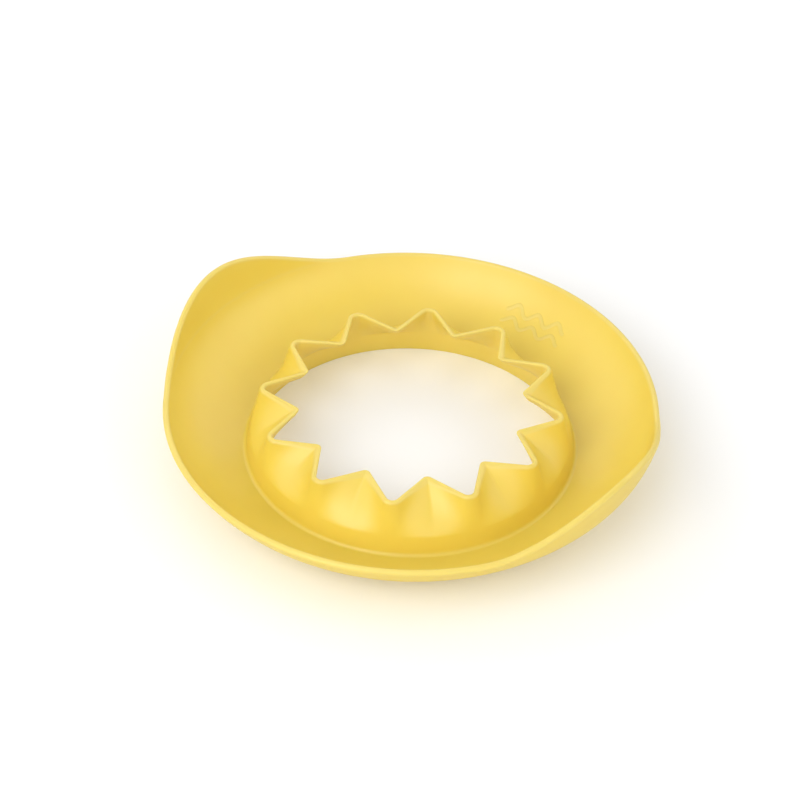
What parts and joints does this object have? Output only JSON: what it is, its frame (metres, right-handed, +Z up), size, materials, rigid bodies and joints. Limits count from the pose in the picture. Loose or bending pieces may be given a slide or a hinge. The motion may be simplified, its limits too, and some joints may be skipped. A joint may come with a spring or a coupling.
{
  "type": "sun sand mould",
  "caption": "Round flared dish with upturned grip ears on its rim, and a pleated collar inside that rises from a circle to a rounded sun outline round an open middle.",
  "frame": {"origin": "centre of the foot ring's circle, on the plane that the mould stands on", "axes": "+Z up through the middle of the opening, +X through the middle of a grip ear, +Y towards the raised wave emblem"},
  "size_m": [0.193, 0.1854, 0.039],
  "materials": {
    "yellow_plastic": "satin, fine moulded grain, slightly translucent at thin edges"
  },
  "bodies": {
    "root": {"flared_dish": "yellow_plastic", "foot_ring": "yellow_plastic", "grip_ear_left": "yellow_plastic", "grip_ear_right": "yellow_plastic", "sun_collar": "yellow_plastic", "wave_emblem": "yellow_plastic"}
  },
  "joints": []
}
